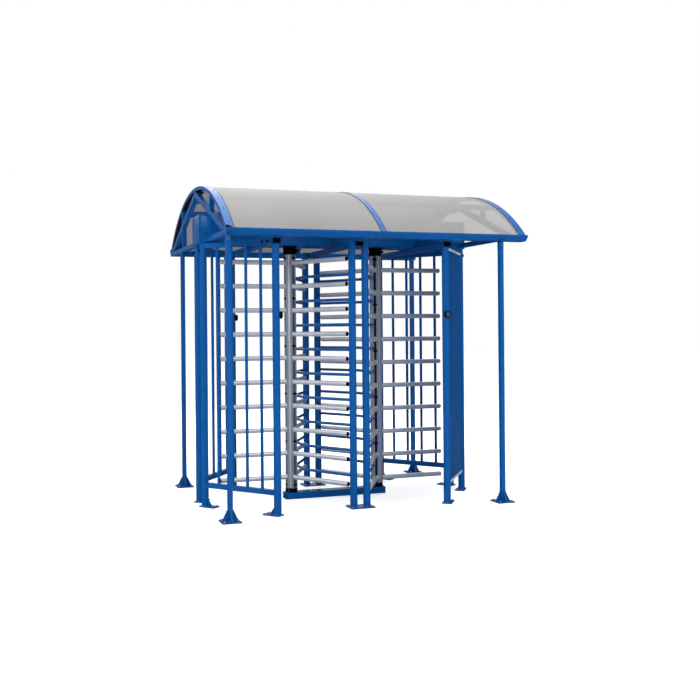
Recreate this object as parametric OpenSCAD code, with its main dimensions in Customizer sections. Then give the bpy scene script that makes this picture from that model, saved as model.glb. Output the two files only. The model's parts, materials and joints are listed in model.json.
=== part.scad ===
// Twin full-height turnstile under a barrel-vault weather canopy.
// Millimetres, +Z up, origin on the floor midway between the two rotor axes,
// +X along the header, -Y the approach side.

/* [Rotors] */
// Distance between the two rotor axes
rotor_spacing = 800; // [790:1:820]
// Distance from a rotor axis to the tip of its bars
wing_reach = 630; // [560:5:640]
// Diameter of a wing bar
bar_d = 40; // [30:1:46]
// Gap from a left wing's top bar axis to the underside of the top beams
bar_top_gap = 98.5; // [90:0.5:110]
// Number of bars in a wing
bar_count = 10; // [6:1:10]
// Height of the left rotor's lowest bars, to the bar axis
low_bar_z = 186.5; // [180:0.5:190]
// How far the right rotor's bars sit below the left rotor's
rotor_stagger = 53; // [52:1:60]
// Length of the plug that closes a bar's tip
plug_l = 5; // [3:1:20]

/* [Rotor columns] */
// Width of each of the three profiles that make a column
profile_w = 60; // [46:1:64]
// Distance from a rotor axis to a profile's outer face
profile_reach = 43.5; // [38:0.5:50]
// Diameter of the shaft through a column
spindle_d = 40; // [30:1:44]
// Outer diameter of a bottom bearing collar
bearing_d = 104; // [90:1:120]
// Height of a bottom bearing collar
bearing_h = 33; // [25:1:50]
// Outer diameter of a top bearing housing
top_bearing_d = 110; // [96:1:130]
// Height of a top bearing housing
top_bearing_h = 68; // [50:1:90]
// Thickness of the closed floor of a bearing
bearing_floor = 5; // [4:1:10]

/* [Frame] */
// Diameter of the upright posts
post_d = 60; // [50:1:62]
// Height from the floor to the underside of the top beams
clear_h = 2130; // [2120:5:2200]
// Height of the top beams
beam_h = 40; // [30:1:50]
// Width of the side top beams
beam_w = 60; // [50:1:70]
// How far a top beam runs past the middle of the posts it joins
beam_overhang = 35; // [32:1:60]
// Length of the header housing
header_l = 2440; // [2440:10:2500]
// Depth of the header housing
header_w = 270; // [270:5:300]
// Height of the header housing
header_h = 240; // [180:5:250]
// Distance from the middle to an end post along the header
end_post_x = 1185; // [1170:5:1190]
// Distance from the middle to an end post across the header
end_post_y = 105; // [100:1:105]
// Distance from the middle to a guard post along the header
guard_x = 738; // [725:1:760]
// Distance from the middle to a guard post across the header
guard_y = 685; // [675:1:710]
// Distance between the two posts of a centre pair
pair_spacing = 115; // [105:1:116]
// Distance from the middle to a centre pair across the header
centre_y = 585; // [582:1:610]
// Thickness of the foot plates under the upright posts
plate_t = 10; // [6:1:12]
// How far the base beam runs past a rotor axis
base_overhang = 60; // [55:1:90]
// Width of the base beam
base_w = 100; // [90:5:120]
// Height of the base beam
base_h = 58; // [40:1:60]
// Length of the foot plate under a centre pair
pair_plate_l = 205; // [190:5:240]
// Width of the foot plate under a centre pair
pair_plate_w = 150; // [150:5:180]
// How far a foot plate runs past its post, away from the bay
plate_out = 34; // [31:1:45]
// How far a foot plate runs along its bay from the post
plate_in = 120; // [100:5:150]
// Width of the foot plates of the end and guard posts
plate_w = 80; // [66:2:110]
// Length of the gusset beside a post's foot
gusset_l = 45; // [30:1:60]
// Height of the gusset beside a post's foot
gusset_h = 50; // [30:1:70]
// Thickness of the gussets
gusset_t = 6; // [4:1:10]

// Diameter of the round card readers
reader_d = 58; // [50:1:64]
// Height of the readers above the floor
reader_z = 1570; // [1200:10:1650]
// How far a reader's face stands off the post's surface
reader_out = 16; // [10:1:30]

/* [Fences] */
// Side of the square rails of a fence
rail_w = 40; // [30:1:50]
// Height of a fence's bottom rail above the floor, to its underside
rail_z = 160; // [120:5:200]
// Diameter of the upright bars of a fence
fence_bar_d = 25; // [20:1:32]
// Number of upright bars in a fence
fence_bar_count = 4; // [3:1:6]
// Thickness of the closed cassette in the front right bay
cassette_t = 30; // [20:1:40]

/* [Combs] */
// Diameter of a comb bar
comb_d = 25; // [20:1:32]
// Height of a comb bar above the left rotor's bar below it
comb_lift = 76; // [70:1:80]
// Distance from the middle to the inner run of a comb
comb_x = 312; // [300:1:316]
// Length of the inner run of a comb, corner to corner
comb_flat = 280; // [220:5:320]
// Centre-line radius of a comb bar's bends
comb_bend_r = 60; // [50:5:90]

/* [Canopy] */
// Distance from the middle to the canopy's left end
canopy_left = 1165; // [1165:5:1215]
// Distance from the middle to the canopy's right end
canopy_right = 1430; // [1380:10:1500]
// How far the canopy's ridge lies behind the rotor axes
canopy_shift = 297; // [280:1:310]
// Half span of the vault, where it stands on the eaves
vault_half = 1109; // [1090:1:1120]
// Rise of the vault above the eaves
vault_rise = 459; // [440:1:520]
// Width of an end arch
arch_w = 60; // [50:5:80]
// Width of the middle arch
middle_arch_w = 40; // [30:5:60]
// Depth of an arch
arch_t = 30; // [20:1:35]
// Thickness of the translucent sheets
sheet_t = 8; // [4:1:12]
// How far a sheet's face lies below the arches' outer face
sheet_drop = 3; // [1:1:6]
// Height of the eaves' underside above the header's underside
eave_lift = 11; // [6:1:30]
// Height of an eave beam
eave_h = 50; // [40:1:60]
// Depth of an eave beam from front to back
eave_w = 120; // [115:5:150]
// Height of the upright lip of an eave beam
eave_lip = 16; // [8:1:24]
// How far the face of an eave beam slopes in below its lip
eave_slope = 35; // [20:1:50]
// How far an eave beam stands out beyond the vault
eave_margin = 28; // [15:1:40]
// Side of the square truss members
truss_w = 40; // [30:1:50]
// Depth of a truss rafter
rafter_t = 45; // [35:1:48]
// Width of a truss strut
strut_w = 30; // [20:1:40]
// Side of the square purlins
purlin_w = 40; // [30:1:45]
// Distance from the middle to the inner face of the right truss
right_truss_x = 1318; // [1260:2:1330]
// Side of the square canopy posts
canopy_post_w = 36; // [30:1:40]
// Distance from the middle to the left canopy posts along the header
left_post_x = 1147; // [1130:1:1147]
// Distance from the middle to the right canopy posts along the header
right_post_x = 1200; // [1145:5:1220]
// Distance from an eave's outer edge to the middle of the front canopy posts
canopy_post_inset = 53; // [50:1:70]
// Distance from the middle to the back canopy posts across the header
canopy_back_y = 930; // [780:5:1300]
// Side of the square foot plates of the canopy posts
foot_w = 150; // [140:5:200]
// Length of the ribs on a canopy post's foot
foot_rib_l = 46; // [35:1:52]
// Height of the ribs on a canopy post's foot
foot_rib_h = 85; // [60:5:130]
// Diameter of the anchor holes
anchor_d = 14; // [10:1:16]
// Distance between the anchor holes
anchor_spacing = 110; // [100:5:114]

/* [Hidden] */
$fn = 64;

BLUE = [0.03, 0.36, 0.66];
STEEL = [0.72, 0.73, 0.75];
BLACK = [0.06, 0.06, 0.07];
SMOKE = [0.74, 0.73, 0.72, 0.6];

// Gaps left between pieces that are bolted on or that turn
running_gap = 0.4;
seat_gap = 0.2;
spindle_fit = 0.05;
// How far a reader wraps back around its post
reader_seat = 8;

rotor_x = rotor_spacing / 2;
header_z = clear_h + beam_h;
eave_z = header_z + eave_lift;
bar_pitch = (clear_h - bar_top_gap - low_bar_z) / (bar_count - 1);
comb_count = bar_count - 1;
base_l = rotor_spacing + 2 * base_overhang;
column_z = base_h + bearing_h + running_gap;
column_top = header_z - top_bearing_h - running_gap;
fence_dx = end_post_x - guard_x;
fence_dy = guard_y - end_post_y;
fence_l = norm([fence_dx, fence_dy]);
pair_x = pair_spacing / 2;
side_beam_l = 2 * (guard_y + beam_overhang);
centre_beam_l = 2 * (centre_y + beam_overhang);
centre_beam_w = pair_spacing - post_d - 2 * seat_gap;
beam_plug_t = 5;

eave_top = eave_z + eave_h;
eave_out = vault_half + eave_margin;
canopy_front_y = eave_out - canopy_shift - canopy_post_inset;
vault_r = (vault_half * vault_half + vault_rise * vault_rise) / (2 * vault_rise);
vault_z = eave_top + vault_rise - vault_r;
middle_arch_x = (canopy_right - canopy_left) / 2 - middle_arch_w / 2;
under_arch_r = vault_r - arch_t - 0.3;
purlin_r = under_arch_r - purlin_w;
purlin_angle = asin(vault_half / 2 / purlin_r);

function wing_angles(side) = [for (i = [0 : 2]) (side < 0 ? 180 : 0) + 120 * i];
function bar_z(side, k) = low_bar_z - (side > 0 ? rotor_stagger : 0) + k * bar_pitch;

// Frame with its origin at an end post and +X running to the guard post
module along_fence(side, end) {
    translate([side * end_post_x, end * end_post_y, 0])
        rotate([0, 0, atan2(end * fence_dy, -side * fence_dx)]) children();
}

module foot_plate() {
    translate([-plate_out, -plate_w / 2, 0]) cube([plate_out + plate_in, plate_w, plate_t]);
}

module gusset() {
    x0 = post_d / 2 - 1;
    translate([x0, gusset_t / 2, plate_t - 1]) rotate([90, 0, 0]) linear_extrude(gusset_t)
        polygon([[0, 0], [gusset_l, 0], [gusset_l, 1], [8, gusset_h], [0, gusset_h]]);
}

// --- base, bearings and header ---

module base_beam() {
    color(BLUE) translate([-base_l / 2, -base_w / 2, 0]) cube([base_l, base_w, base_h]);
}

module bottom_bearings() {
    color(BLACK) for (side = [-1, 1]) translate([side * rotor_x, 0, base_h]) difference() {
        cylinder(d = bearing_d, h = bearing_h);
        translate([0, 0, bearing_floor]) cylinder(d = spindle_d + 2 * spindle_fit, h = bearing_h);
    }
}

module top_bearings() {
    color(BLACK) for (side = [-1, 1]) translate([side * rotor_x, 0, header_z - top_bearing_h]) difference() {
        cylinder(d = top_bearing_d, h = top_bearing_h);
        translate([0, 0, -bearing_floor])
            cylinder(d = spindle_d + 2 * spindle_fit, h = top_bearing_h);
    }
}

module header_housing() {
    color(BLUE) translate([-header_l / 2, -header_w / 2, header_z]) cube([header_l, header_w, header_h]);
}

// --- posts ---

module end_posts(side) {
    color(BLUE) for (end = [-1, 1]) along_fence(side, end) {
        cylinder(d = post_d, h = header_z);
        foot_plate();
        gusset();
    }
}

module guard_post(side, end) {
    color(BLUE) along_fence(side, end) translate([fence_l, 0, 0]) {
        cylinder(d = post_d, h = clear_h);
        rotate([0, 0, 180]) {
            foot_plate();
            gusset();
        }
    }
}

module centre_posts(end) {
    color(BLUE) translate([0, end * centre_y, 0]) {
        for (side = [-1, 1]) translate([side * pair_x, 0, 0]) {
            cylinder(d = post_d, h = header_z);
            rotate([0, 0, -end * 90]) gusset();
        }
        translate([-pair_plate_l / 2, -pair_plate_w / 2, 0]) cube([pair_plate_l, pair_plate_w, plate_t]);
    }
}

module left_end_posts() { end_posts(-1); }
module right_end_posts() { end_posts(1); }
module front_left_guard_post() { guard_post(-1, -1); }
module back_left_guard_post() { guard_post(-1, 1); }
module front_right_guard_post() { guard_post(1, -1); }
module back_right_guard_post() { guard_post(1, 1); }
module front_centre_posts() { centre_posts(-1); }
module back_centre_posts() { centre_posts(1); }

// --- top beams ---

module top_beam_block(x, w, l) {
    translate([x - w / 2, -l / 2, clear_h]) cube([w, l, beam_h]);
}

module left_top_beam() { color(BLUE) top_beam_block(-guard_x, beam_w, side_beam_l); }
module right_top_beam() { color(BLUE) top_beam_block(guard_x, beam_w, side_beam_l); }
module centre_top_beam() { color(BLUE) top_beam_block(0, centre_beam_w, centre_beam_l); }

module beam_end_plugs() {
    color(BLACK) for (end = [-1, 1]) {
        for (x = [-guard_x, guard_x])
            translate([x - beam_w / 2, end * (side_beam_l / 2 + beam_plug_t / 2) - beam_plug_t / 2, clear_h])
                cube([beam_w, beam_plug_t, beam_h]);
        translate([-centre_beam_w / 2, end * (centre_beam_l / 2 + beam_plug_t / 2) - beam_plug_t / 2, clear_h])
            cube([centre_beam_w, beam_plug_t, beam_h]);
    }
}

// Round reader fitted against a guard post, facing along dir
module reader_disc(x, y, dir) {
    difference() {
        translate([x, y, reader_z]) rotate([0, 0, dir]) translate([post_d / 2 - reader_seat, 0, 0])
            rotate([0, 90, 0]) cylinder(d = reader_d, h = reader_seat + reader_out);
        translate([x, y, 0]) cylinder(d = post_d + 2 * seat_gap, h = clear_h);
    }
}

module reader_discs() {
    color(BLACK) {
        reader_disc(guard_x, -guard_y, -90);
        reader_disc(-guard_x, -guard_y, 0);
        reader_disc(-guard_x, guard_y, 0);
    }
}

// --- fences ---

// Cuts a fence clear of its two posts and of the top beam
module between_posts(side, end) {
    difference() {
        along_fence(side, end) children();
        along_fence(side, end) for (x = [0, fence_l]) translate([x, 0, -1]) cylinder(d = post_d, h = header_z + 2);
        translate([side * guard_x - beam_w / 2, -side_beam_l / 2, clear_h - 1])
            cube([beam_w, side_beam_l, beam_h + 2]);
    }
}

module fence(side, end) {
    color(BLUE) between_posts(side, end) {
        translate([0, -rail_w / 2, rail_z]) cube([fence_l, rail_w, rail_w]);
        translate([0, -rail_w / 2, clear_h]) cube([fence_l, rail_w, beam_h]);
        for (i = [1 : fence_bar_count])
            translate([fence_l * i / (fence_bar_count + 1), 0, rail_z + rail_w / 2])
                cylinder(d = fence_bar_d, h = clear_h + beam_h / 2 - rail_z - rail_w / 2);
    }
}

module front_left_fence() { fence(-1, -1); }
module back_left_fence() { fence(-1, 1); }
module back_right_fence() { fence(1, 1); }
module front_right_cassette() {
    color(BLUE) between_posts(1, -1)
        translate([0, -cassette_t / 2, rail_z]) cube([fence_l, cassette_t, header_z - rail_z]);
}

// --- combs ---

comb_turn = 90 - atan2(centre_y - comb_flat / 2, comb_x - pair_x);
comb_back = comb_bend_r * tan(comb_turn / 2);
comb_centre = [comb_x - comb_bend_r, -comb_flat / 2 + comb_back];
comb_touch = comb_centre + comb_bend_r * [cos(comb_turn), -sin(comb_turn)];

// Length that a straight run of a comb bar reaches into its bend
comb_lap = 4;

// Half of a bent bar: straight leg from the front post, then its bend
module comb_half() {
    difference() {
        translate([pair_x, -centre_y, 0]) rotate([0, 0, 90 - comb_turn]) rotate([0, 90, 0])
            cylinder(d = comb_d, h = norm(comb_touch - [pair_x, -centre_y]) + comb_lap);
        translate([pair_x, -centre_y, -comb_d]) cylinder(d = post_d, h = 2 * comb_d);
    }
    translate([comb_centre[0], comb_centre[1], 0]) rotate([0, 0, -comb_turn])
        rotate_extrude(angle = comb_turn) translate([comb_bend_r, 0]) circle(d = comb_d + 1);
}

module comb_bar() {
    comb_half();
    mirror([0, 1, 0]) comb_half();
    translate([comb_x, comb_centre[1] - comb_lap, 0]) rotate([-90, 0, 0])
        cylinder(d = comb_d, h = 2 * comb_lap - 2 * comb_centre[1]);
}

module right_side_comb() {
    $fn = 28;
    for (k = [0 : comb_count - 1])
        translate([0, 0, low_bar_z + comb_lift + k * bar_pitch]) comb_bar();
}

module right_comb() { color(BLUE) right_side_comb(); }
module left_comb() { color(BLUE) mirror([1, 0, 0]) right_side_comb(); }

// --- canopy ---

module canopy_post(x, y) {
    color(BLUE) translate([x, y, 0]) {
        translate([-canopy_post_w / 2, -canopy_post_w / 2, 0]) cube([canopy_post_w, canopy_post_w, eave_z]);
        difference() {
            translate([-foot_w / 2, -foot_w / 2, 0]) cube([foot_w, foot_w, plate_t]);
            for (ix = [-1, 1], iy = [-1, 1])
                translate([ix * anchor_spacing / 2, iy * anchor_spacing / 2, -1])
                    cylinder(d = anchor_d, h = plate_t + 2);
        }
        for (a = [0 : 90 : 270]) rotate([0, 0, a]) translate([canopy_post_w / 2 - 1, gusset_t / 2, plate_t - 1])
            rotate([90, 0, 0]) linear_extrude(gusset_t)
                polygon([[0, 0], [foot_rib_l, 0], [foot_rib_l, 8], [8, foot_rib_h], [0, foot_rib_h]]);
    }
}

module front_left_canopy_post() { canopy_post(-left_post_x, -canopy_front_y); }
module back_left_canopy_post() { canopy_post(-left_post_x, canopy_back_y); }
module front_right_canopy_post() { canopy_post(right_post_x, -canopy_front_y); }
module back_right_canopy_post() { canopy_post(right_post_x, canopy_back_y); }

module eave(side) {
    color(BLUE) translate([-canopy_left, canopy_shift, 0]) rotate([90, 0, 90])
        linear_extrude(canopy_left + canopy_right) polygon([
            [side * eave_out, eave_top], [side * eave_out, eave_top - eave_lip],
            [side * (eave_out - eave_slope), eave_z], [side * (eave_out - eave_w), eave_z],
            [side * (eave_out - eave_w), eave_top]]);
}

module front_eave() { eave(-1); }
module back_eave() { eave(1); }

// Part of a tube about the vault's axis, standing on the eaves
module vault(x0, w, r, t) {
    intersection() {
        translate([x0, canopy_shift, vault_z]) rotate([90, 0, 90]) linear_extrude(w) difference() {
            circle(r = r, $fn = 180);
            circle(r = r - t, $fn = 180);
        }
        translate([x0 - 1, canopy_shift - eave_out, eave_top]) cube([w + 2, 2 * eave_out, 2 * vault_rise]);
    }
}

module left_arch() { color(BLUE) vault(-canopy_left, arch_w, vault_r, arch_t); }
module middle_arch() { color(BLUE) vault(middle_arch_x, middle_arch_w, vault_r, arch_t); }
module right_arch() { color(BLUE) vault(canopy_right - arch_w, arch_w, vault_r, arch_t); }

module left_roof_sheet() {
    x0 = -canopy_left + arch_w;
    color(SMOKE) vault(x0, middle_arch_x - x0, vault_r - sheet_drop, sheet_t);
}

module right_roof_sheet() {
    x0 = middle_arch_x + middle_arch_w;
    color(SMOKE) vault(x0, canopy_right - arch_w - x0, vault_r - sheet_drop, sheet_t);
}

// Pair of sloping rafters from the eaves up to the ridge
rafter_half = sqrt(pow(vault_r - arch_t, 2) - pow(eave_top - vault_z, 2)) - 2;
rafter_rise = vault_z + under_arch_r - eave_top;
rafter_down = rafter_t / cos(atan2(rafter_rise, rafter_half));

module rafters(x0) {
    translate([x0, canopy_shift, eave_top]) rotate([90, 0, 90]) linear_extrude(truss_w) difference() {
        polygon([[-rafter_half, 0], [rafter_half, 0], [0, rafter_rise]]);
        polygon([[-rafter_half, -rafter_down], [rafter_half, -rafter_down], [0, rafter_rise - rafter_down]]);
    }
}

// Uprights that hold the purlins
module struts(x0, z0) {
    intersection() {
        for (s = [-1, 1])
            translate([x0, canopy_shift + s * vault_half / 2 - strut_w / 2, z0])
                cube([truss_w, strut_w, eave_top + vault_rise - z0]);
        translate([x0 - 1, canopy_shift, vault_z]) rotate([0, 90, 0])
            cylinder(r = purlin_r - 0.3, h = truss_w + 2, $fn = 180);
    }
}

// Level tie from eave to eave, interrupted by the header housing
module level_tie(x0) {
    front = canopy_shift - eave_out + eave_w;
    difference() {
        translate([x0, front, eave_z]) cube([truss_w, 2 * (eave_out - eave_w), truss_w]);
        translate([-header_l / 2, -header_w / 2, header_z]) cube([header_l, header_w, header_h]);
    }
}

module left_truss() {
    color(BLUE) {
        rafters(-canopy_left);
        struts(-canopy_left, eave_z + truss_w - 1);
        level_tie(-canopy_left);
    }
}

module right_truss() {
    strut_foot = eave_top + rafter_rise * (1 - vault_half / 2 / rafter_half) - rafter_down / 2;
    color(BLUE) {
        rafters(right_truss_x);
        struts(right_truss_x, strut_foot);
    }
}

module right_tie_beam() { color(BLUE) level_tie(right_post_x - truss_w / 2); }

module roof_purlins() {
    color(BLUE) for (s = [-1, 1])
        translate([-canopy_left, canopy_shift, vault_z]) rotate([-s * purlin_angle, 0, 0])
            translate([0, -purlin_w / 2, purlin_r]) cube([canopy_left + canopy_right, purlin_w, purlin_w]);
}

// --- rotors ---

// Outline of the three profiles standing back to back, corner by corner
column_corner_r = profile_w / 2 / sin(60);
column_outline = [for (a = [0, 120, 240]) each [
    [profile_reach * cos(a) + profile_w / 2 * sin(a), profile_reach * sin(a) - profile_w / 2 * cos(a)],
    [profile_reach * cos(a) - profile_w / 2 * sin(a), profile_reach * sin(a) + profile_w / 2 * cos(a)],
    [column_corner_r * cos(a + 60), column_corner_r * sin(a + 60)]]];
spindle_l = bearing_h - bearing_floor;
top_spindle_l = top_bearing_h - bearing_floor;

module rotor_column(side) {
    color(STEEL) translate([side * rotor_x, 0, column_z]) rotate([0, 0, wing_angles(side)[0]]) {
        linear_extrude(column_top - column_z) polygon(column_outline);
        translate([0, 0, -spindle_l]) cylinder(d = spindle_d, h = spindle_l + 1);
        translate([0, 0, column_top - column_z - 1]) cylinder(d = spindle_d, h = top_spindle_l + 1);
    }
}

module rotor_bars(side) {
    color(STEEL) translate([side * rotor_x, 0, 0])
        for (a = wing_angles(side), k = [0 : bar_count - 1])
            rotate([0, 0, a]) translate([profile_reach, 0, bar_z(side, k)]) rotate([0, 90, 0])
                cylinder(d = bar_d, h = wing_reach - plug_l - profile_reach);
}

module bar_plugs(side) {
    color(BLACK) translate([side * rotor_x, 0, 0])
        for (a = wing_angles(side), k = [0 : bar_count - 1])
            rotate([0, 0, a]) translate([wing_reach - plug_l, 0, bar_z(side, k)]) rotate([0, 90, 0])
                cylinder(d1 = bar_d - 2, d2 = bar_d - 8, h = plug_l);
}

module left_rotor_column() { rotor_column(-1); }
module left_rotor_bars() { rotor_bars(-1); }
module left_bar_plugs() { bar_plugs(-1); }
module right_rotor_column() { rotor_column(1); }
module right_rotor_bars() { rotor_bars(1); }
module right_bar_plugs() { bar_plugs(1); }

base_beam();
bottom_bearings();
top_bearings();
header_housing();
left_end_posts();
right_end_posts();
front_left_guard_post();
back_left_guard_post();
front_right_guard_post();
back_right_guard_post();
front_centre_posts();
back_centre_posts();
front_left_fence();
back_left_fence();
back_right_fence();
front_right_cassette();
left_comb();
right_comb();
left_top_beam();
centre_top_beam();
right_top_beam();
beam_end_plugs();
reader_discs();
front_left_canopy_post();
back_left_canopy_post();
front_right_canopy_post();
back_right_canopy_post();
front_eave();
back_eave();
left_arch();
middle_arch();
right_arch();
left_truss();
right_truss();
right_tie_beam();
roof_purlins();
left_roof_sheet();
right_roof_sheet();
left_rotor_column();
left_rotor_bars();
left_bar_plugs();
right_rotor_column();
right_rotor_bars();
right_bar_plugs();
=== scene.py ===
"""Looks for the twin full-height turnstile with its vaulted canopy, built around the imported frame. Metres."""

import json
import math

import bmesh
import bpy
from mathutils import Matrix, Vector


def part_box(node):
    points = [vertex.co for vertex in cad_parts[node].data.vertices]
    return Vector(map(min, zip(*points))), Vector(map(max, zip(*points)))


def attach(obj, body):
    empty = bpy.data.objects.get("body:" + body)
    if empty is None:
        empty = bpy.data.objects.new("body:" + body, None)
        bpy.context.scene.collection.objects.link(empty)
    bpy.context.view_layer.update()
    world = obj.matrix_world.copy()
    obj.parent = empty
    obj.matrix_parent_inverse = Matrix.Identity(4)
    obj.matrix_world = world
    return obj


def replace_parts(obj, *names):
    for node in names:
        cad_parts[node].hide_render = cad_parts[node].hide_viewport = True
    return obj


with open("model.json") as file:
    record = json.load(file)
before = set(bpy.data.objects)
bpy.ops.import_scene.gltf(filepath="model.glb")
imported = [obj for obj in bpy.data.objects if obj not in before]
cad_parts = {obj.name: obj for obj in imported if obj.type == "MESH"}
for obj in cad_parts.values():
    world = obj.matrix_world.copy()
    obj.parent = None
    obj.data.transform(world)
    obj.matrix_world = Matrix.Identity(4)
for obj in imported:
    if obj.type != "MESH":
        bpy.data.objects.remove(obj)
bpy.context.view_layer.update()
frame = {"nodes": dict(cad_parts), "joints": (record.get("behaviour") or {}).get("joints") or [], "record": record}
nodes = frame["nodes"]

# Places that the pieces below share with the solids
POST_R = 0.030
END_POST = Vector((1.185, 0.105, 0))
GUARD_POST = Vector((0.738, 0.685, 0))
CENTRE_POST = Vector((0.0575, 0.585, 0))
CANOPY_POSTS = [(-1.147, -0.787), (-1.147, 0.930), (1.200, -0.787), (1.200, 0.930)]
CANOPY_POST_HALF = 0.018
PLATE_T = 0.010
ANCHOR_HALF = 0.055
PROFILE_FACE = 0.0435
PROFILE_NOTCH = 0.0346
PROFILE_HALF = 0.030
SLOT_HALF = 0.011
SLOT_DEPTH = 0.014
SPINDLE_R = 0.020
SPINDLE_BELOW = 0.028
SPINDLE_ABOVE = 0.063
WING_REACH = 0.630
ROTORS = {j["child"]: Vector(j["pos_m"]) for j in frame["joints"]}
WINGS = {"left_rotor": (180, 300, 60), "right_rotor": (0, 120, 240)}
BAR_R = 0.020
BARS = 10
COMB_R = 0.0125
COMB_LEG_TURN = 60.2
LOW_COMB_Z = 0.2625
BAR_PITCH = 0.205
COMB_HEIGHTS = [LOW_COMB_Z + BAR_PITCH * k for k in range(BARS - 1)]
FENCE_BARS = 4
FENCE_BAR_R = 0.0125
RAIL_TOP = 0.200
TOP_RAIL_Z = 2.150
BEAM_Z = (2.130, 2.170)
BASE_END = 0.460
BASE_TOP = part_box("base_beam")[1].z
CASSETTE_HALF = 0.015
READERS = [(0.738, -0.685, -90), (-0.738, -0.685, 0), (-0.738, 0.685, 0)]
READER_Z = 1.570
READER_FACE = 0.046
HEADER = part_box("header_housing")
EAVE_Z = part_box("front_eave")[0].z
EAVE_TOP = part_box("front_eave")[1].z
ARCHES = {name: (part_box(name)[0].x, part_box(name)[1].x) for name in ("left_arch", "middle_arch", "right_arch")}
VAULT_Y = 0.297
VAULT_HALF = 1.109
VAULT_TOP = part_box("left_arch")[1].z
RISE = VAULT_TOP - EAVE_TOP
VAULT_R = (VAULT_HALF ** 2 + RISE ** 2) / (2 * RISE)
VAULT_Z = VAULT_TOP - VAULT_R
VAULT_ANGLE = math.degrees(math.asin(VAULT_HALF / VAULT_R))
ARCH_T = 0.030
TRUSS_FACES = [(-1.125, 1), (1.318, -1), (1.358, 1)]
PURLIN_ANGLE = 21.7

# Bevel on the edges of thin sheet pieces
SHEET_EDGE = 0.0008
# Thickness of the caps on the eaves' ends and of the plates on the trusses
CAP_T = 0.0025
TRUSS_PLATE_T = 0.004
# Steps along a strip that follows the vault
VAULT_STEPS = 48
# Edges sharper than this, in degrees, stay sharp when a piece is smoothed
SHARP_ANGLE = 35
BUMP_STRENGTH = 0.15


# --- materials ---


class Surface:
    """A node material: constant values on the shader, patterns on colour, roughness and bump."""

    def __init__(self, name, color, roughness, metallic=0.0, specular=0.5):
        self.mat = bpy.data.materials.new(name)
        self.mat.use_nodes = True
        self.tree = self.mat.node_tree
        self.shader = self.tree.nodes["Principled BSDF"]
        self.color = color
        self.shader.inputs["Base Color"].default_value = (*color, 1)
        self.shader.inputs["Roughness"].default_value = roughness
        self.shader.inputs["Metallic"].default_value = metallic
        self.shader.inputs["Specular IOR Level"].default_value = specular
        self.coords = self.tree.nodes.new("ShaderNodeTexCoord").outputs["Object"]

    def noise(self, scale, detail, stretch=(1, 1, 1)):
        mapping = self.tree.nodes.new("ShaderNodeMapping")
        mapping.inputs["Scale"].default_value = stretch
        self.tree.links.new(self.coords, mapping.inputs["Vector"])
        noise = self.tree.nodes.new("ShaderNodeTexNoise")
        noise.inputs["Scale"].default_value = scale
        noise.inputs["Detail"].default_value = detail
        self.tree.links.new(mapping.outputs["Vector"], noise.inputs["Vector"])
        return noise.outputs["Fac"]

    def tint(self, value, spread):
        """Colour that wanders a little either side of the base colour."""
        ramp = self.tree.nodes.new("ShaderNodeValToRGB")
        stops = ((0.3, 1 - spread), (0.7, 1 + spread))
        for element, (position, share) in zip(ramp.color_ramp.elements, stops):
            element.position = position
            element.color = (*(min(1, c * share) for c in self.color), 1)
        self.tree.links.new(value, ramp.inputs["Fac"])
        self.tree.links.new(ramp.outputs["Color"], self.shader.inputs["Base Color"])

    def rough(self, value, low, high):
        spread = self.tree.nodes.new("ShaderNodeMapRange")
        spread.inputs["To Min"].default_value = low
        spread.inputs["To Max"].default_value = high
        self.tree.links.new(value, spread.inputs["Value"])
        self.tree.links.new(spread.outputs["Result"], self.shader.inputs["Roughness"])

    def bump(self, value, depth):
        bump = self.tree.nodes.new("ShaderNodeBump")
        bump.inputs["Distance"].default_value = depth
        bump.inputs["Strength"].default_value = BUMP_STRENGTH
        self.tree.links.new(value, bump.inputs["Height"])
        self.tree.links.new(bump.outputs["Normal"], self.shader.inputs["Normal"])
        return bump

    def round_edges(self, bump, radius):
        bevel = self.tree.nodes.new("ShaderNodeBevel")
        bevel.samples = 3
        bevel.inputs["Radius"].default_value = radius
        self.tree.links.new(bevel.outputs["Normal"], bump.inputs["Normal"])


def blue_paint():
    s = Surface("blue_paint", (0.0003, 0.078, 0.292), 0.26, specular=0.5)
    s.tint(s.noise(2.2, 4), 0.05)
    s.rough(s.noise(9, 3), 0.16, 0.24)
    s.round_edges(s.bump(s.noise(900, 2), 0.00012), 0.002)
    return s.mat


def bar_steel():
    s = Surface("bar_steel", (0.68, 0.72, 0.78), 0.30, metallic=0.5)
    s.tint(s.noise(14, 5), 0.05)
    s.rough(s.noise(60, 4, (1, 1, 6)), 0.32, 0.44)
    s.round_edges(s.bump(s.noise(1400, 2, (1, 1, 4)), 0.00005), 0.002)
    return s.mat


def column_steel():
    s = Surface("column_steel", (0.36, 0.41, 0.475), 0.30, metallic=0.5)
    s.tint(s.noise(3, 4, (6, 6, 0.5)), 0.08)
    s.rough(s.noise(50, 4, (1, 1, 0.1)), 0.28, 0.42)
    s.round_edges(s.bump(s.noise(700, 2, (1, 1, 0.05)), 0.00005), 0.003)
    return s.mat


def black_plastic():
    s = Surface("black_plastic", (0.0012, 0.0012, 0.0015), 0.5, specular=0.08)
    s.tint(s.noise(30, 3), 0.25)
    s.rough(s.noise(120, 3), 0.42, 0.58)
    s.bump(s.noise(1600, 2), 0.0001)
    return s.mat


def grey_plastic():
    s = Surface("grey_plastic", (0.055, 0.060, 0.068), 0.4, specular=0.3)
    s.tint(s.noise(40, 3), 0.10)
    s.rough(s.noise(150, 3), 0.34, 0.48)
    s.bump(s.noise(1500, 2), 0.00008)
    return s.mat


def zinc_bolts():
    s = Surface("zinc_bolts", (0.42, 0.44, 0.48), 0.35, metallic=1.0)
    s.tint(s.noise(160, 3), 0.15)
    s.rough(s.noise(300, 2), 0.3, 0.5)
    return s.mat


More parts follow.
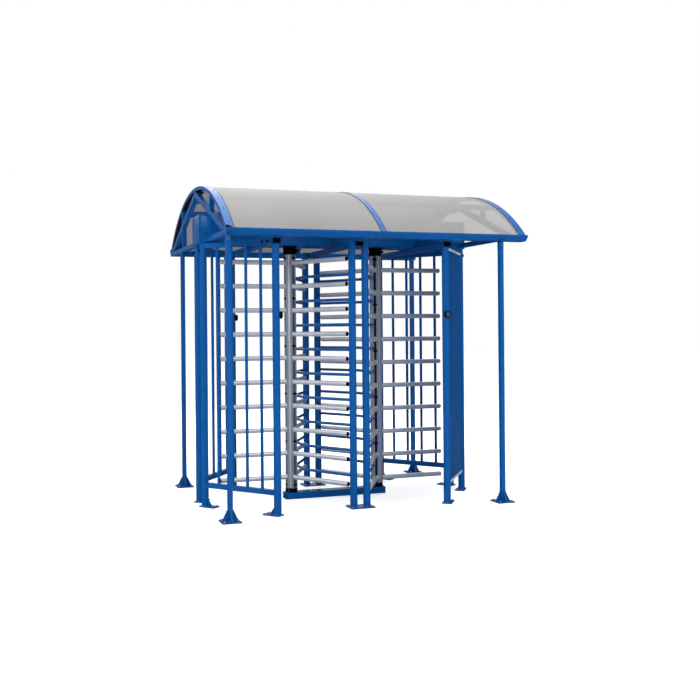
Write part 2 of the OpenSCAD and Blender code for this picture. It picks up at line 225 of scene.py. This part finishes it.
def roof_sheet():
    s = Surface("roof_sheet", (0.30, 0.294, 0.289), 0.30, specular=0.06)
    s.tint(s.noise(1.6, 3), 0.05)
    s.rough(s.noise(5, 3), 0.30, 0.36)
    s.shader.inputs["Alpha"].default_value = 0.64
    return s.mat


# Pale blue for the strips on the cassette's top and bottom edges: a trim whose pale colour is partly a painted
# highlight of the light those edges catch.
def pale_highlight_strip():
    s = Surface("pale_highlight_strip", (0.38, 0.50, 0.64), 0.45, specular=0.3)
    s.tint(s.noise(6, 3), 0.06)
    s.rough(s.noise(9, 3), 0.40, 0.50)
    return s.mat


# Dark navy for the floors of the column profiles' slots: painted shade in the recess, with a blue cast that is a
# painted reflection of the blue posts.
def painted_slot_shade():
    s = Surface("painted_slot_shade", (0.004, 0.014, 0.070), 0.7, specular=0.1)
    s.tint(s.noise(20, 3), 0.2)
    s.bump(s.noise(400, 2), 0.0002)
    return s.mat


# Black rubber for the real seals between sheets and arches, also used as painted shade in the column grooves and
# under the arches.
def rubber_seal_and_shade():
    s = Surface("rubber_seal_and_shade", (0.010, 0.010, 0.012), 0.75, specular=0.15)
    s.tint(s.noise(60, 3), 0.3)
    s.bump(s.noise(500, 2), 0.0002)
    return s.mat


PAINT, STEEL, COLUMN, ZINC = blue_paint(), bar_steel(), column_steel(), zinc_bolts()
BLACK, GREY, SLOT_SHADE = black_plastic(), grey_plastic(), painted_slot_shade()
SEAL_AND_SHADE, SHEET, HIGHLIGHT_STRIP = rubber_seal_and_shade(), roof_sheet(), pale_highlight_strip()
CAD_LOOKS = {"blue_paint": PAINT, "bar_steel": STEEL, "black_plastic": BLACK, "roof_sheet": SHEET}
for part in frame["record"]["subparts"]:
    looks = nodes[part["node"]].data.materials
    for i in range(len(looks)):
        looks[i] = COLUMN if part["node"].endswith("_column") else CAD_LOOKS[part["material_slot"]]


# --- mesh helpers ---


def place(at, turn=0.0, tilt=0.0):
    """At a point, tilted from +Z towards +X by tilt, then turned about +Z, in degrees."""
    return (Matrix.Translation(Vector(at)) @ Matrix.Rotation(math.radians(turn), 4, "Z")
            @ Matrix.Rotation(math.radians(tilt), 4, "Y"))


# Lays an outline's X and Y along the world's Y and Z, to be drawn out along +X
ON_YZ = Matrix(((0, 0, 1, 0), (1, 0, 0, 0), (0, 1, 0, 0), (0, 0, 0, 1)))


class Piece:
    """One named object made of many small solids."""

    def __init__(self, name, body, mat, slot):
        self.name, self.body, self.mat, self.slot_name = name, body, mat, slot
        self.bm = bmesh.new()

    def lathe(self, at, outline, segments):
        """Solid of revolution about the local Z axis; outline runs from (radius, z) to (radius, z)."""
        turns = [2 * math.pi * i / segments for i in range(segments)]
        rings = []
        for radius, z in outline:
            if radius == 0:
                ring = [Vector((0, 0, z))]
            else:
                ring = [Vector((radius * math.cos(a), radius * math.sin(a), z)) for a in turns]
            rings.append([self.bm.verts.new(at @ point) for point in ring])
        for a, b in zip(rings, rings[1:]):
            for i in range(segments):
                j = (i + 1) % segments
                loop = [a[i % len(a)], a[j % len(a)], b[j % len(b)], b[i % len(b)]]
                self.bm.faces.new(list(dict.fromkeys(loop)))

    def block(self, at, size, bevel):
        """Box with rounded edges, bevelled on its own so that its faces keep one order from run to run."""
        box = bmesh.new()
        bmesh.ops.create_cube(box, size=1, matrix=at @ Matrix.Diagonal((*size, 1)))
        bmesh.ops.bevel(box, geom=box.edges[:], offset=bevel, segments=2, affect="EDGES", profile=0.5)
        box.verts.index_update()
        made = [self.bm.verts.new(v.co) for v in box.verts]
        for face in box.faces:
            self.bm.faces.new([made[v.index] for v in face.verts])
        box.free()

    def bolt(self, at, r, washer=True):
        """Hexagon head, with or without a washer under it."""
        base = 0.0
        if washer:
            self.lathe(at, [(0, 0), (r * 1.22, 0), (r * 1.22, r * 0.17), (r * 1.1, r * 0.22),
                            (0, r * 0.22)], 20)
            base = r * 0.2
        top = base + r * 0.85
        self.lathe(at, [(0, base), (r, base), (r, top - r * 0.12), (r * 0.84, top), (0, top)], 6)

    def screw(self, at, r, h):
        """Socket cap screw with its recess."""
        self.lathe(at, [(0, -0.001), (r, -0.001), (r, h * 0.75), (r * 0.86, h), (r * 0.5, h),
                        (r * 0.46, h * 0.35), (0, h * 0.35)], 16)

    def bead(self, at, r, size=0.004, segments=24):
        """Ring of weld around a bar of radius r."""
        self.lathe(at, [(r - 0.001, 0), (r + size, 0), (r + size * 0.75, size * 0.45),
                        (r + size * 0.3, size * 0.85), (r - 0.001, size)], segments)

    def prism(self, at, outline, depth):
        """Outline in the local XY plane, drawn out along +Z."""
        ends = [[self.bm.verts.new(at @ Vector((x, y, z))) for x, y in outline] for z in (0, depth)]
        for end in ends:
            self.bm.faces.new(end)
        for i in range(len(outline)):
            j = (i + 1) % len(outline)
            self.bm.faces.new((ends[0][i], ends[0][j], ends[1][j], ends[1][i]))

    def strip(self, x0, x1, r0, r1, a0, a1):
        """Band that follows the vault, between two places along it, two radii and two angles."""
        rings = []
        for i in range(VAULT_STEPS + 1):
            a = math.radians(a0 + (a1 - a0) * i / VAULT_STEPS)
            rings.append([self.bm.verts.new((x, VAULT_Y + r * math.sin(a), VAULT_Z + r * math.cos(a)))
                          for x, r in ((x0, r0), (x1, r0), (x1, r1), (x0, r1))])
        for a, b in zip(rings, rings[1:]):
            for i in range(4):
                j = (i + 1) % 4
                self.bm.faces.new((a[i], a[j], b[j], b[i]))
        self.bm.faces.new(rings[0])
        self.bm.faces.new(rings[-1])

    def done(self):
        """Close the piece, smooth it and hang it on its body."""
        bmesh.ops.recalc_face_normals(self.bm, faces=self.bm.faces)
        mesh = bpy.data.meshes.new(self.name)
        self.bm.to_mesh(mesh)
        self.bm.free()
        mesh.materials.append(self.mat)
        obj = bpy.data.objects.new(self.name, mesh)
        bpy.context.scene.collection.objects.link(obj)
        for face in mesh.polygons:
            face.use_smooth = True
        mesh.set_sharp_from_angle(angle=math.radians(SHARP_ANGLE))
        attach(obj, self.body)
        return obj


def along_fence(side, end):
    """Frame at an end post with +X running to its guard post."""
    start = Vector((side * END_POST.x, end * END_POST.y, 0))
    run = Vector((side * GUARD_POST.x, end * GUARD_POST.y, 0)) - start
    return place(start, math.degrees(math.atan2(run.y, run.x))), run.length


def corners():
    return [(side, end) for side in (-1, 1) for end in (-1, 1)]


def on_vault(x, r, angle):
    """Frame on the vault at a radius and an angle from its top, with +Z pointing out of it."""
    a = math.radians(angle)
    return (Matrix.Translation((x, VAULT_Y + r * math.sin(a), VAULT_Z + r * math.cos(a)))
            @ Matrix.Rotation(-a, 4, "X"))


# --- rotors ---

tip_outline = [(0, -0.001), (0.0155, -0.001), (0.0155, 0.0004), (0.0145, 0.0012), (0.0115, 0.0012),
               (0.0105, 0.0002), (0.004, 0.0002), (0.0032, 0.0011), (0, 0.0013)]

for body, axis in ROTORS.items():
    side = body.split("_")[0]
    bars_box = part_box(body + "_bars")
    bar_low = bars_box[0].z + BAR_R
    pitch = (bars_box[1].z - bars_box[0].z - 2 * BAR_R) / (BARS - 1)
    spindle_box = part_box(body + "_column")
    column_low = spindle_box[0].z + SPINDLE_BELOW
    column_high = spindle_box[1].z - SPINDLE_ABOVE
    screws = Piece(side + "_column_screws", body, BLACK, "black_plastic")
    beads = Piece(side + "_bar_collars", body, STEEL, "bar_steel")
    ribs = Piece(side + "_column_ribs", body, STEEL, "bar_steel")
    groove_shades = Piece(side + "_column_groove_shades", body, SEAL_AND_SHADE, "black_plastic")
    slot_shades = Piece(side + "_profile_slot_shades", body, SLOT_SHADE, "black_plastic")
    tips = Piece(side + "_plug_faces", body, BLACK, "black_plastic")
    for wing in WINGS[body]:
        face = place(axis, wing)
        heights = [bar_low + (k + 0.5) * pitch for k in (1, 3, 5, 7)]
        heights += [column_low + 0.030, column_high - 0.030]
        for z in heights:
            for y in (-0.0115, 0.0115):
                screws.screw(face @ place((PROFILE_FACE, y, z), 0, 90), 0.0092, 0.0055)
        for k in range(BARS):
            z = bar_low + k * pitch
            ring = face @ place((PROFILE_FACE, 0, z), 0, 90)
            beads.lathe(ring, [(BAR_R - 0.001, 0), (BAR_R + 0.0035, 0), (BAR_R + 0.0030, 0.0015),
                               (BAR_R + 0.0012, 0.0034), (BAR_R - 0.001, 0.0042)], 24)
            tip = face @ place((WING_REACH, 0, z), 0, 90)
            tips.lathe(tip, tip_outline, 20)
        middle = (column_low + column_high) / 2
        height = column_high - column_low - 0.004
        # A dark navy strip on each slot's floor is painted shade for the slot.
        slot_shades.block(face @ place((PROFILE_FACE - SLOT_DEPTH, 0, middle)), (0.002, 0.0215, height), 0.0006)
        notch = place(axis, wing + 60) @ place((PROFILE_NOTCH + 0.001, 0, middle))
        ribs.block(notch, (0.008, 0.015, height), 0.003)
        # Black strips either side of the rib are painted shade for the grooves where the profiles meet.
        for y in (-0.0095, 0.0095):
            groove_shades.block(notch @ place((-0.001, y, 0)), (0.006, 0.004, height), 0.001)
    for piece in (screws, beads, ribs, groove_shades, slot_shades, tips):
        piece.done()
    outline = []
    for wing in WINGS[body]:
        for reach, half in ((PROFILE_FACE, -PROFILE_HALF), (PROFILE_FACE, -SLOT_HALF),
                            (PROFILE_FACE - SLOT_DEPTH, -SLOT_HALF), (PROFILE_FACE - SLOT_DEPTH, SLOT_HALF),
                            (PROFILE_FACE, SLOT_HALF), (PROFILE_FACE, PROFILE_HALF)):
            outline.append((place((0, 0, 0), wing) @ Vector((reach, half, 0))).xy)
        outline.append((place((0, 0, 0), wing + 60) @ Vector((PROFILE_NOTCH, 0, 0))).xy)
    profiles = Piece(side + "_column_profiles", body, COLUMN, "bar_steel")
    profiles.prism(place((axis.x, axis.y, column_low)), outline, column_high - column_low)
    for bottom, top in ((spindle_box[0].z, column_low), (column_high, spindle_box[1].z)):
        length = top - bottom
        profiles.lathe(place((axis.x, axis.y, bottom)),
                       [(0, 0), (SPINDLE_R, 0), (SPINDLE_R, length), (0, length)], 48)
    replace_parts(profiles.done(), body + "_column")

# --- feet ---

anchors = Piece("foot_anchor_bolts", "frame", ZINC, "bar_steel")
welds = Piece("foot_weld_beads", "frame", PAINT, "blue_paint")
for x, y in CANOPY_POSTS:
    for ix in (-1, 1):
        for iy in (-1, 1):
            at = (x + ix * ANCHOR_HALF, y + iy * ANCHOR_HALF, PLATE_T)
            anchors.bolt(place(at, 10 * ix + 7 * iy), 0.0095)
    for turn in (0, 90, 180, 270):
        welds.block(place((x, y, 0), turn) @ place((CANOPY_POST_HALF, 0, PLATE_T + 0.001), 0, 45),
                    (0.005, 2 * CANOPY_POST_HALF, 0.005), 0.0012)
for side, end in corners():
    fence, length = along_fence(side, end)
    for x in (0.104, length - 0.104):
        for y in (-0.026, 0.026):
            anchors.bolt(fence @ place((x, y, PLATE_T), 13 * side), 0.0075)
    for post in (END_POST, GUARD_POST, CENTRE_POST):
        welds.bead(place((side * post.x, end * post.y, PLATE_T)), POST_R)
    for y in (-0.055, 0.055):
        anchors.bolt(place((side * 0.088, end * CENTRE_POST.y + y, PLATE_T), 17), 0.0075)
for x in (-0.20, 0.20):
    anchors.bolt(place((x, 0, BASE_TOP), 9), 0.0095)
anchors.done()
welds.done()

# --- base beam and bearings ---

ends = Piece("base_beam_end_plates", "frame", PAINT, "blue_paint")
end_bolts = Piece("base_beam_end_bolts", "frame", BLACK, "black_plastic")
for side in (-1, 1):
    ends.block(place((side * (BASE_END + 0.001), 0, BASE_TOP / 2)),
               (0.003, 0.092, BASE_TOP - 0.008), SHEET_EDGE)
    for y in (-0.034, 0.034):
        for z in (0.017, BASE_TOP - 0.017):
            end_bolts.bolt(place((side * (BASE_END + 0.0022), y, z), 0, side * 90), 0.0062, False)
ends.done()
end_bolts.done()

flanges = Piece("bearing_flanges", "frame", BLACK, "black_plastic")
flange_bolts = Piece("bearing_flange_bolts", "frame", ZINC, "bar_steel")
top_flange = [(0.054, 0), (0.069, 0), (0.069, 0.005), (0.067, 0.007), (0.058, 0.007), (0.0545, 0.010),
              (0.054, 0.010)]
top_band = [(0.0545, 0.044), (0.0572, 0.045), (0.0572, 0.055), (0.0545, 0.056)]
foot_flange = [(0.0515, 0.0), (0.0555, 0.0), (0.0555, 0.006), (0.053, 0.009), (0.0515, 0.009)]
for body, axis in ROTORS.items():
    top = place((axis.x, axis.y, BEAM_Z[1]), 0, 180)
    flanges.lathe(top, top_flange, 48)
    flanges.lathe(top, top_band, 48)
    flanges.block(place((axis.x, axis.y, 2.136), -38) @ place((0.062, 0, 0)), (0.022, 0.030, 0.024), 0.003)
    flanges.lathe(place((axis.x, axis.y, BASE_TOP)), foot_flange, 48)
    for k in range(6):
        around = top @ place((0, 0, 0), 30 + 60 * k)
        flange_bolts.bolt(around @ place((0.0625, 0, 0.0068)), 0.0038, False)
    for k in range(4):
        around = place((axis.x, axis.y, BASE_TOP + 0.018), 45 + 90 * k)
        flange_bolts.screw(around @ place((0.0515, 0, 0), 0, 90), 0.0045, 0.003)
flanges.done()
flange_bolts.done()

# --- header ---

covers = Piece("header_covers", "frame", PAINT, "blue_paint")
cover_screws = Piece("header_cover_screws", "frame", PAINT, "blue_paint")
locks = Piece("header_locks", "frame", BLACK, "black_plastic")
lock_outline = [(0, 0), (0.013, 0), (0.013, 0.003), (0.011, 0.004), (0.004, 0.004), (0.004, 0.002),
                (0, 0.002)]
mid_z = (HEADER[0].z + HEADER[1].z) / 2
half_x, half_y, half_z = HEADER[1].x, HEADER[1].y, (HEADER[1].z - HEADER[0].z) / 2
for end in (-1, 1):
    for side in (-1, 1):
        covers.block(place((side * half_x / 2, end * (half_y + 0.001), mid_z)),
                     (half_x - 0.020, 0.003, 2 * half_z - 0.024), SHEET_EDGE)
        face = place((side * half_x / 2, end * (half_y + 0.0025), mid_z), end * 90, 90)
        for k in range(6):
            for edge in (-1, 1):
                head = face @ place((edge * (half_z - 0.024), (k - 2.5) * 0.215, 0))
                cover_screws.screw(head, 0.0055, 0.003)
        for y in (-0.30, 0.30):
            locks.lathe(face @ place((0, y, 0)), lock_outline, 24)
for side in (-1, 1):
    covers.block(place((side * (half_x + 0.001), 0, mid_z)),
                 (0.003, 2 * half_y - 0.006, 2 * half_z - 0.006), SHEET_EDGE)
    for y in (-1, 1):
        for z in (-1, 1):
            corner = (side * (half_x + 0.0025), y * (half_y - 0.022), mid_z + z * (half_z - 0.022))
            cover_screws.screw(place(corner, 0, side * 90), 0.0055, 0.003)
    covers.block(place((side * half_x / 2, 0, HEADER[1].z + 0.001)),
                 (half_x - 0.016, 2 * half_y - 0.012, 0.003), SHEET_EDGE)
for piece in (covers, cover_screws, locks):
    piece.done()

# --- combs and fences ---

bar_welds = Piece("comb_weld_beads", "frame", PAINT, "blue_paint")
for side, end in corners():
    turn = -end * COMB_LEG_TURN if side > 0 else end * (COMB_LEG_TURN - 180)
    for z in COMB_HEIGHTS:
        leg = place((side * CENTRE_POST.x, end * CENTRE_POST.y, z), turn)
        bar_welds.bead(leg @ place((0.0285, 0, 0), 0, 90), COMB_R, 0.0035, 20)
bar_welds.done()

rail_welds = Piece("fence_weld_beads", "frame", PAINT, "blue_paint")
rail_bolts = Piece("fence_rail_bolts", "frame", BLACK, "black_plastic")
for side, end in corners():
    fence, length = along_fence(side, end)
    if (side, end) != (1, -1):
        for k in range(1, FENCE_BARS + 1):
            x = length * k / (FENCE_BARS + 1)
            rail_welds.bead(fence @ place((x, 0, RAIL_TOP)), FENCE_BAR_R, 0.0035, 20)
            rail_welds.bead(fence @ place((x, 0, BEAM_Z[0]), 0, 180), FENCE_BAR_R, 0.0035, 20)
        for x in (length - 0.115, length - 0.065):
            for face in (-1, 1):
                rail_bolts.bolt(fence @ place((x, face * 0.020, TOP_RAIL_Z), face * 90, 90), 0.0085)
    rail_bolts.lathe(place((side * (END_POST.x + POST_R - 0.002), end * END_POST.y, 2.112), 0, side * 90),
                     [(0, 0), (0.014, 0), (0.014, 0.008), (0.012, 0.010), (0, 0.010)], 20)
rail_welds.done()
rail_bolts.done()

trims = Piece("cassette_trims", "frame", PAINT, "blue_paint")
highlight_strips = Piece("cassette_edge_highlights", "frame", HIGHLIGHT_STRIP, "bar_steel")
trim_screws = Piece("cassette_screws", "frame", PAINT, "blue_paint")
fence, length = along_fence(1, -1)
for face in (-1, 1):
    for x in (0.045, length - 0.045):
        trims.block(fence @ place((x, face * (CASSETTE_HALF + 0.0015), 1.165)),
                    (0.022, 0.003, 1.99), SHEET_EDGE)
        for k in range(9):
            head = place((x, face * (CASSETTE_HALF + 0.003), 0.22 + k * 0.236), face * 90, 90)
            trim_screws.screw(fence @ head, 0.0035, 0.0018)
    # Pale strips along the top and bottom edges are trims coloured partly as painted highlight.
    for z in (0.172, 2.118):
        highlight_strips.block(fence @ place((length / 2, face * (CASSETTE_HALF + 0.0015), z)),
                     (length - 0.115, 0.003, 0.022), SHEET_EDGE)
trims.done()
highlight_strips.done()
trim_screws.done()

# --- readers and beam ends ---

rims = Piece("reader_rims", "frame", BLACK, "black_plastic")
faces = Piece("reader_faces", "frame", GREY, "black_plastic")
rim_outline = [(0.0215, -0.001), (0.0285, -0.001), (0.0280, 0.0015), (0.0255, 0.003), (0.0225, 0.003),
               (0.0215, 0.0015)]
face_outline = [(0, -0.001), (0.0205, -0.001), (0.0205, 0.0010), (0.0195, 0.0016), (0.0065, 0.0012),
                (0.006, 0.0004), (0, 0.0004)]
for x, y, turn in READERS:
    front = place((x, y, READER_Z), turn) @ place((READER_FACE, 0, 0), 0, 90)
    rims.lathe(front, rim_outline, 40)
    faces.lathe(front, face_outline, 40)
    for k in range(3):
        dot = front @ place((0, 0, 0), 60 + 30 * k) @ place((0.0135, 0, 0.001))
        rims.lathe(dot, [(0, 0), (0.0014, 0), (0.0014, 0.001), (0, 0.0012)], 10)
rims.done()
faces.done()

plugs = Piece("beam_plug_faces", "frame", BLACK, "black_plastic")
for end in (-1, 1):
    for x, w, y in ((-0.738, 0.060, 0.725), (0.738, 0.060, 0.725), (0, 0.0546, 0.625)):
        plugs.block(place((x, end * y, TOP_RAIL_Z)), (w - 0.008, 0.003, 0.032), 0.0012)
        for k in (-1, 0, 1):
            plugs.block(place((x + k * 0.012, end * (y + 0.0015), TOP_RAIL_Z)), (0.003, 0.002, 0.024), 0.0006)
plugs.done()

# --- canopy ---

caps = Piece("eave_end_caps", "frame", PAINT, "blue_paint")
cap_screws = Piece("eave_cap_screws", "frame", ZINC, "bar_steel")
fittings = Piece("eave_fittings", "frame", BLACK, "black_plastic")
eave_profile = [(0, 0.050), (0, 0.034), (-0.035, 0), (-0.120, 0), (-0.120, 0.050)]
for side in (-1, 1):
    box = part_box("front_eave" if side < 0 else "back_eave")
    outer = box[0].y if side < 0 else box[1].y
    for x, turn in ((box[0].x, -1), (box[1].x, 1)):
        inset = [(side * (p - 0.0015 if i < 2 else p), EAVE_Z + q) for i, (p, q) in enumerate(eave_profile)]
        start = x if turn > 0 else x - CAP_T
        caps.prism(Matrix.Translation((start, outer, 0)) @ ON_YZ, inset, CAP_T)
        for y, z in ((-0.030, 0.030), (-0.095, 0.025)):
            head = place((x + turn * 0.0022, outer + side * y, EAVE_Z + z), 0, turn * 90)
            cap_screws.screw(head, 0.004, 0.0025)
    fittings.block(place((box[0].x + 0.010, outer - side * 0.020, EAVE_TOP + 0.008)),
                   (0.030, 0.024, 0.020), 0.003)
    fittings.block(place((box[0].x + 0.032, outer - side * 0.010, EAVE_TOP + 0.004)),
                   (0.012, 0.012, 0.012), 0.002)
caps.done()
cap_screws.done()
fittings.done()

brackets = Piece("canopy_brackets", "frame", PAINT, "blue_paint")
canopy_bolts = Piece("canopy_bolts", "frame", ZINC, "bar_steel")
for x, y in CANOPY_POSTS:
    for face in (-1, 1):
        out = y + face * CANOPY_POST_HALF
        brackets.block(place((x, out + face * 0.002, EAVE_Z - 0.030)), (0.034, 0.004, 0.058), 0.001)
        brackets.block(place((x, out + face * 0.016, EAVE_Z - 0.002)), (0.034, 0.030, 0.004), 0.001)
        canopy_bolts.bolt(place((x, out + face * 0.0035, EAVE_Z - 0.038), face * 90, 90), 0.0065)
        canopy_bolts.bolt(place((x, out + face * 0.019, EAVE_Z - 0.0035), 0, 180), 0.0055)
apex_z = VAULT_TOP - ARCH_T - 0.055
apex_plate = [(-0.095, apex_z - 0.050), (0.095, apex_z - 0.050), (0.040, apex_z + 0.028),
              (-0.040, apex_z + 0.028)]
for x, turn in TRUSS_FACES:
    start = x if turn > 0 else x - TRUSS_PLATE_T
    brackets.prism(Matrix.Translation((start, VAULT_Y, 0)) @ ON_YZ, apex_plate, TRUSS_PLATE_T)
    for y, z in ((-0.060, -0.030), (0.060, -0.030), (-0.028, 0.005), (0.028, 0.005)):
        canopy_bolts.bolt(place((x + turn * 0.0038, VAULT_Y + y, apex_z + z), 0, turn * 90), 0.006)
for side in (-1, 1):
    for name, (x0, x1) in ARCHES.items():
        x = x1 + 0.012 if name != "right_arch" else x0 - 0.012
        seat = on_vault(x, VAULT_R - ARCH_T - 0.002, side * PURLIN_ANGLE)
        for face in (-1, 1):
            brackets.block(seat @ place((0, face * 0.0215, -0.022)), (0.030, 0.003, 0.036), SHEET_EDGE)
            canopy_bolts.bolt(seat @ place((0, face * 0.0228, -0.024), face * 90, 90), 0.0045)
brackets.done()

sheet_fixings = Piece("sheet_fixings", "frame", PAINT, "blue_paint")
seals_and_shade = Piece("sheet_seals_and_arch_shade", "frame", SEAL_AND_SHADE, "black_plastic")
for name, (x0, x1) in ARCHES.items():
    for k in range(13):
        a = (k - 6) / 6 * (VAULT_ANGLE - 3)
        sheet_fixings.screw(on_vault((x0 + x1) / 2, VAULT_R, a), 0.0055, 0.0028)
    for x, turn in ((x0, -1), (x1, 1)):
        if (name, turn) in (("left_arch", -1), ("right_arch", 1)):
            continue
        seals_and_shade.strip(x, x + turn * 0.005, VAULT_R - 0.0035, VAULT_R - 0.0015, -VAULT_ANGLE, VAULT_ANGLE)
# Black strips under the left and right arches, wider under the back half of the left arch, are painted shade on
# the arches' undersides.
for name, front, back in (("left_arch", 0.056, 0.090), ("right_arch", 0.056, 0.056)):
    x0 = ARCHES[name][0] + 0.002
    for width, a0, a1 in ((front, -VAULT_ANGLE + 1.5, 0), (back, 0, VAULT_ANGLE - 1.5)):
        seals_and_shade.strip(x0, x0 + width, VAULT_R - ARCH_T - 0.0022, VAULT_R - ARCH_T + 0.0005, a0, a1)
sheet_fixings.done()
canopy_bolts.done()
seals_and_shade.done()


def add_area(name, at, size, energy):
    """Disk lamp aimed at the object's middle and unseen in reflections."""
    lamp = bpy.data.lights.new(name, "AREA")
    lamp.shape, lamp.size, lamp.energy = "DISK", size, energy
    obj = bpy.data.objects.new(name, lamp)
    obj.location = at
    obj.rotation_euler = (LAMP_TARGET - Vector(at)).to_track_quat("-Z", "Y").to_euler()
    obj.visible_glossy = False
    bpy.context.scene.collection.objects.link(obj)


LAMP_TARGET = Vector((0, 0, 1.2))
CAMERA_AT = (-2.882, -7.623, 1.4525)
CAMERA_YAW = math.radians(18.27)
CAMERA_ROLL = math.radians(-0.5)
camera = bpy.data.cameras.new("camera")
camera.sensor_width = 36
camera.lens = 47.77
camera.shift_x, camera.shift_y = 0.08, -0.0287
camera_obj = bpy.data.objects.new("camera", camera)
camera_obj.location = CAMERA_AT
camera_obj.rotation_euler = (Matrix.Rotation(-CAMERA_YAW, 3, "Z") @ Matrix.Rotation(math.radians(90), 3, "X")
                             @ Matrix.Rotation(CAMERA_ROLL, 3, "Z")).to_euler()
bpy.context.scene.collection.objects.link(camera_obj)
bpy.context.scene.camera = camera_obj

world = bpy.data.worlds.new("studio")
bpy.context.scene.world = world
world.use_nodes = True
tree = world.node_tree


def sky(strength):
    node = tree.nodes.new("ShaderNodeBackground")
    node.inputs["Color"].default_value = (1, 1, 1, 1)
    if isinstance(strength, float):
        node.inputs["Strength"].default_value = strength
    else:
        tree.links.new(strength, node.inputs["Strength"])
    return node.outputs[0]


def math_node(operation, *values):
    node = tree.nodes.new("ShaderNodeMath")
    node.operation = operation
    for i, value in enumerate(values):
        if isinstance(value, (int, float)):
            node.inputs[i].default_value = value
        else:
            tree.links.new(value, node.inputs[i])
    return node.outputs[0]


def blend(fac, a, b):
    node = tree.nodes.new("ShaderNodeMixShader")
    for value, target in zip((fac, a, b), node.inputs):
        tree.links.new(value, target)
    return node.outputs[0]


# Reflections see a studio that is bright overhead, dim at the horizon and nearly dark on the far right
path = tree.nodes.new("ShaderNodeLightPath")
split = tree.nodes.new("ShaderNodeSeparateXYZ")
tree.links.new(tree.nodes.new("ShaderNodeTexCoord").outputs["Generated"], split.inputs[0])
open_side = math_node("MULTIPLY_ADD", split.outputs["X"], -3.3, 2.0)
open_side = math_node("MINIMUM", math_node("MAXIMUM", open_side, 0.0), 1.0)
glow = math_node("MULTIPLY_ADD", split.outputs["Y"], 0.04, 0.08)
above = math_node("MAXIMUM", math_node("SUBTRACT", split.outputs["Z"], 0.15), 0.0)
glow = math_node("MULTIPLY_ADD", above, 8.0, glow)
glow = math_node("MINIMUM", glow, 2.0)
glow = math_node("MULTIPLY_ADD", glow, open_side, 0.02)
seen = math_node("MAXIMUM", path.outputs["Is Camera Ray"], path.outputs["Is Transmission Ray"])
lit = blend(path.outputs["Is Glossy Ray"], sky(0.70), sky(glow))
tree.links.new(blend(seen, lit, sky(1.0)), tree.nodes["World Output"].inputs["Surface"])

add_area("left", (-7.5, -3.5, 4.2), 2.4, 300)
add_area("front", (1.0, -7.5, 0.7), 2.4, 66)
add_area("top", (0.0, 0.0, 7.6), 4.0, 400)
add_area("right", (6.0, -5.0, 3.0), 3.0, 155)
add_area("back", (2.5, 8.0, 3.6), 3.0, 240)


floor_mesh = bpy.data.meshes.new("floor")
floor_mesh.from_pydata([(-40, -40, 0), (40, -40, 0), (40, 40, 0), (-40, 40, 0)], [], [(0, 1, 2, 3)])
floor = bpy.data.objects.new("floor", floor_mesh)
floor.location.z = -0.0005
bpy.context.scene.collection.objects.link(floor)
floor_mat = bpy.data.materials.new("floor")
floor_mat.use_nodes = True
tree = floor_mat.node_tree
pale = tree.nodes["Principled BSDF"]
pale.inputs["Base Color"].default_value = (0.8, 0.8, 0.8, 1)
pale.inputs["Roughness"].default_value = 1.0
pale.inputs["Specular IOR Level"].default_value = 0.0
lift = tree.nodes.new("ShaderNodeEmission")
lift.inputs["Strength"].default_value = 0.56
white = tree.nodes.new("ShaderNodeAddShader")
tree.links.new(pale.outputs[0], white.inputs[0])
tree.links.new(lift.outputs[0], white.inputs[1])
dark = tree.nodes.new("ShaderNodeBsdfDiffuse")
dark.inputs["Color"].default_value = (0.03, 0.03, 0.03, 1)

# The camera sees the floor near white with the shadow on it, and reflections see it dark
path = tree.nodes.new("ShaderNodeLightPath")
bounced = blend(path.outputs["Is Glossy Ray"], pale.outputs[0], dark.outputs[0])
surface = blend(path.outputs["Is Camera Ray"], bounced, white.outputs[0])
tree.links.new(surface, tree.nodes["Material Output"].inputs["Surface"])
floor_mesh.materials.append(floor_mat)

bpy.context.scene.view_settings.view_transform = "Standard"
